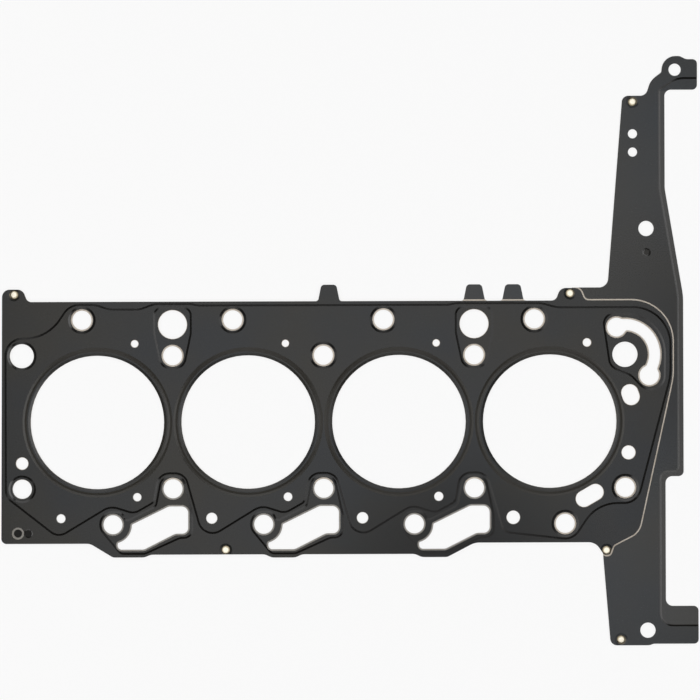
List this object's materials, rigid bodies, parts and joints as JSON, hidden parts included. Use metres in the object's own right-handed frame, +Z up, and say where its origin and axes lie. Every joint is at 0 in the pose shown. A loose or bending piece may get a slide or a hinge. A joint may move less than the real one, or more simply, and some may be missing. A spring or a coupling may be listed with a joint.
{
  "type": "cylinder head gasket",
  "caption": "Multi-layer steel head gasket with pressed sealing beads round its bores and passages and a long tongue that seals the timing case.",
  "frame": {"origin": "middle of the cylinder row, on the face that lies on the engine block", "axes": "+X along the cylinder row towards the timing case, +Y across the row towards the side with three head bolts, +Z up to the cylinder head"},
  "size_m": [0.4577, 0.3869, 0.0012],
  "materials": {
    "coated_head_side": "spring steel under a thin charcoal rubber coating, satin",
    "bare_spacer": "bare rolled steel, bright",
    "coated_block_side": "spring steel under a thin charcoal rubber coating, satin",
    "coated_tongue": "spring steel under a thin charcoal rubber coating, satin",
    "rivet_brass": "pale brass, plain"
  },
  "bodies": {
    "root": {"head_side_layer": "coated_head_side", "distance_layer": "bare_spacer", "block_side_layer": "coated_block_side", "timing_case_layer": "coated_tongue", "block_area_rivets": "rivet_brass", "timing_tongue_rivets": "rivet_brass"}
  },
  "joints": []
}
